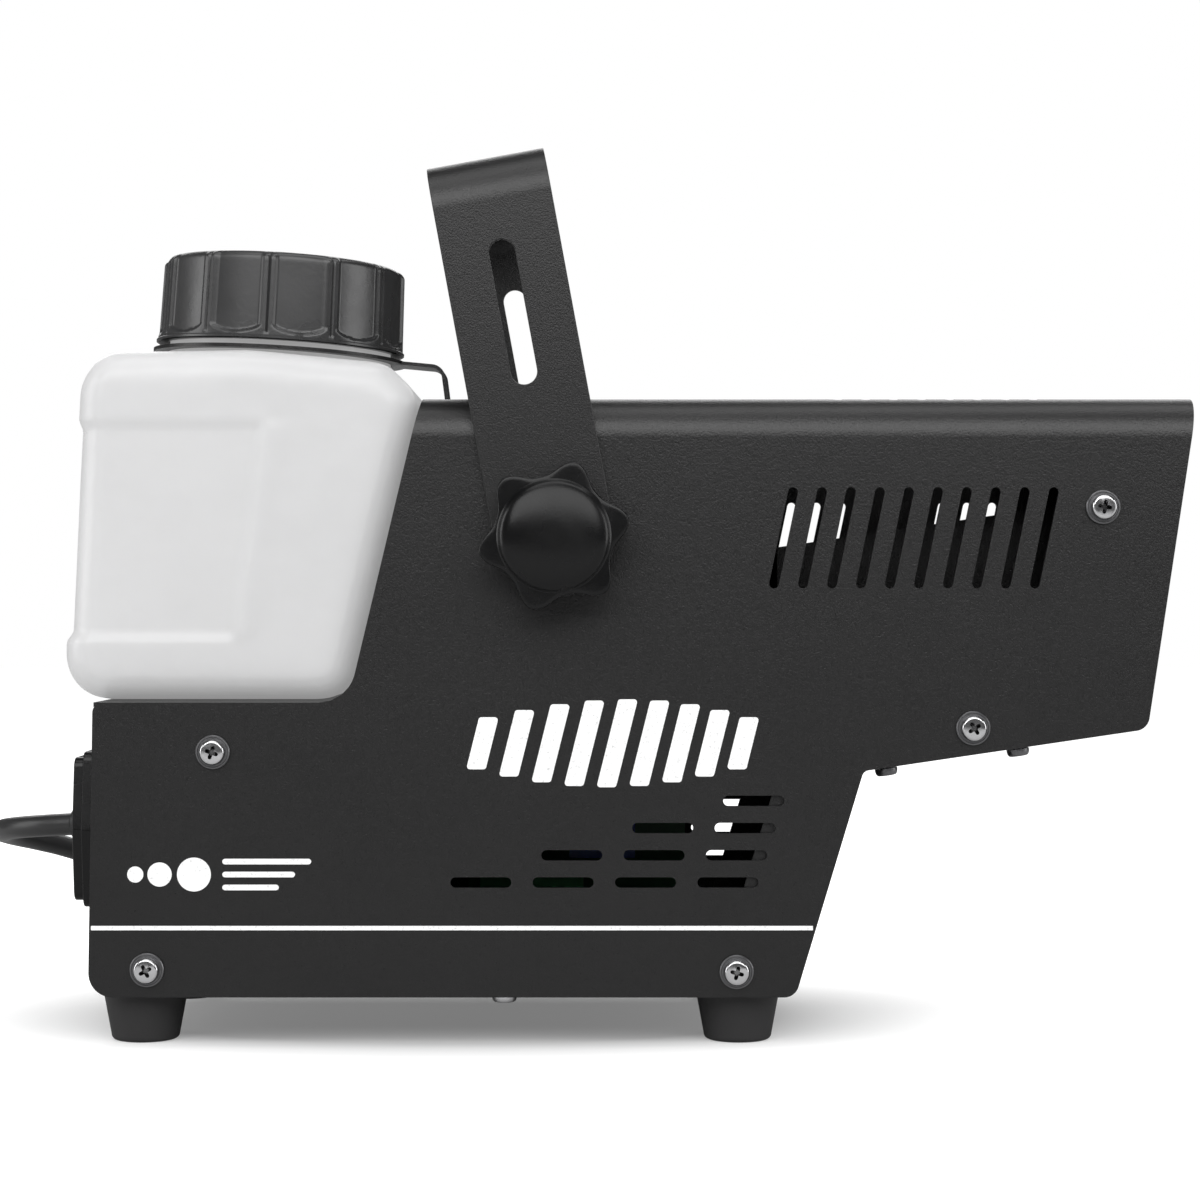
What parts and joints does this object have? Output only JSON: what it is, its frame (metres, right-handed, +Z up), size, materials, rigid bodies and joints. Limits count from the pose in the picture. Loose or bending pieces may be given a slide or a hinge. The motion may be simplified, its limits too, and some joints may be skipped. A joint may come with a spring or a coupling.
{
  "type": "fog machine",
  "caption": "Small stage fog machine: folded steel housing with vents, a translucent fluid bottle with a screw cap on its rear step, and a swinging handle bracket locked by star knobs.",
  "frame": {"origin": "on the floor under the middle of the housing and bottle, measured without the cord", "axes": "+X from the rear panel to the nozzle, +Y to the side with the mains cord, +Z up"},
  "size_m": [0.3474, 0.2576, 0.2419],
  "materials": {
    "black_paint": "satin black powder coat, light on the folds",
    "knob_plastic": "satin black moulded",
    "cap_plastic": "semi-gloss black moulded",
    "bottle_plastic": "translucent natural polyethylene",
    "foot_rubber": "dark moulded rubber",
    "cord_jacket": "black PVC jacket",
    "chrome_screw": "bright plated",
    "black_screw": "black oxide",
    "zinc_plate": "zinc plated",
    "aluminium": "cast, lightly machined",
    "brass": "turned",
    "copper": "drawn copper tube",
    "foam": "white foam liner",
    "silicone": "clear silicone",
    "coil_case": "moulded coil",
    "ceramic_wool": "ceramic fibre felt",
    "bakelite": "brown phenolic",
    "board": "green solder mask",
    "relay_case": "blue moulded",
    "terminal_case": "green moulded"
  },
  "bodies": {
    "housing": {"bottle": "bottle_plastic", "bottle_seat": "black_paint", "chassis_tray": "black_paint", "control_board": "board", "cord_coil": "cord_jacket", "cord_relief": "cord_jacket", "cover_shell": "black_paint", "delivery_pipe": "copper", "foot_front_far": "foot_rubber", "foot_front_near": "foot_rubber", "foot_rear_far": "foot_rubber", "foot_rear_near": "foot_rubber", "front_panel": "black_paint", "heat_shield": "zinc_plate", "heater_block": "aluminium", "heater_bracket_front": "zinc_plate", "heater_bracket_rear": "zinc_plate", "heater_cover": "black_paint", "heater_insulation": "ceramic_wool", "hose_filter": "brass", "mains_cord": "cord_jacket", "mains_plug": "cord_jacket", "neck_plate": "black_paint", "neck_plate_screw": "black_screw", "nose_screw_front_far": "black_screw", "nose_screw_front_near": "black_screw", "nose_screw_rear_far": "black_screw", "nose_screw_rear_near": "black_screw", "nozzle": "brass", "outlet_grommet": "foot_rubber", "pivot_nut_far": "zinc_plate", "pivot_nut_near": "zinc_plate", "pump_body": "coil_case", "pump_bracket": "zinc_plate", "pump_inlet": "brass", "relay": "relay_case", "remote_socket": "knob_plastic", "screw_front_far": "chrome_screw", "screw_front_near": "chrome_screw", "screw_neck_far": "chrome_screw", "screw_neck_near": "chrome_screw", "screw_nose_far": "chrome_screw", "screw_nose_near": "chrome_screw", "screw_rear_far": "chrome_screw", "screw_rear_near": "chrome_screw", "screw_seat_far": "chrome_screw", "screw_seat_near": "chrome_screw", "suction_hose": "silicone", "terminal_block": "terminal_case", "thermal_fuse": "zinc_plate", "thermostat": "bakelite", "tray_screw": "chrome_screw"},
    "handle": {"handle_bracket": "black_paint"},
    "near_washer": {"knob_washer_near": "zinc_plate"},
    "near_knob": {"knob_near": "knob_plastic"},
    "far_washer": {"knob_washer_far": "zinc_plate"},
    "far_knob": {"knob_far": "knob_plastic"},
    "cap_seal": {"cap_liner": "foam"},
    "cap": {"bottle_cap": "cap_plastic"},
    "plunger": {"pump_plunger": "zinc_plate"}
  },
  "joints": [
    {"name": "handle_swing", "type": "hinge", "parent": "housing", "child": "handle", "pos_m": [-0.0188, 0, 0.1362], "axis": [0, 1, 0], "range_deg": [-19, 64]},
    {"name": "near_washer_slide", "type": "slide", "parent": "housing", "child": "near_washer", "axis": [0, -1, 0], "range_m": [0, 0.0026]},
    {"name": "near_knob_turn", "type": "hinge", "parent": "near_washer", "child": "near_knob", "pos_m": [-0.0188, -0.0597, 0.1362], "axis": [0, -1, 0], "range_deg": [0, 720]},
    {"name": "far_washer_slide", "type": "slide", "parent": "housing", "child": "far_washer", "axis": [0, 1, 0], "range_m": [0, 0.0026]},
    {"name": "far_knob_turn", "type": "hinge", "parent": "far_washer", "child": "far_knob", "pos_m": [-0.0188, 0.0597, 0.1362], "axis": [0, 1, 0], "range_deg": [0, 720]},
    {"name": "cap_lift", "type": "slide", "parent": "housing", "child": "cap_seal", "axis": [0.0523, 0, 0.9986], "range_m": [0, 0.0245]},
    {"name": "cap_turn", "type": "hinge", "parent": "cap_seal", "child": "cap", "pos_m": [-0.0987, 0, 0.188], "axis": [0.0523, 0, 0.9986], "range_deg": [0, 1440]},
    {"name": "pump_stroke", "type": "slide", "parent": "housing", "child": "plunger", "axis": [-1, 0, 0], "range_m": [0, 0.003], "stiffness_N_per_m": 400}
  ],
  "couplings": [
    {"joint": "near_washer_slide", "follows": "near_knob_turn", "m_per_rad": 0.00019894},
    {"joint": "far_washer_slide", "follows": "far_knob_turn", "m_per_rad": 0.00019894},
    {"joint": "cap_lift", "follows": "cap_turn", "m_per_rad": 0.00095493}
  ]
}
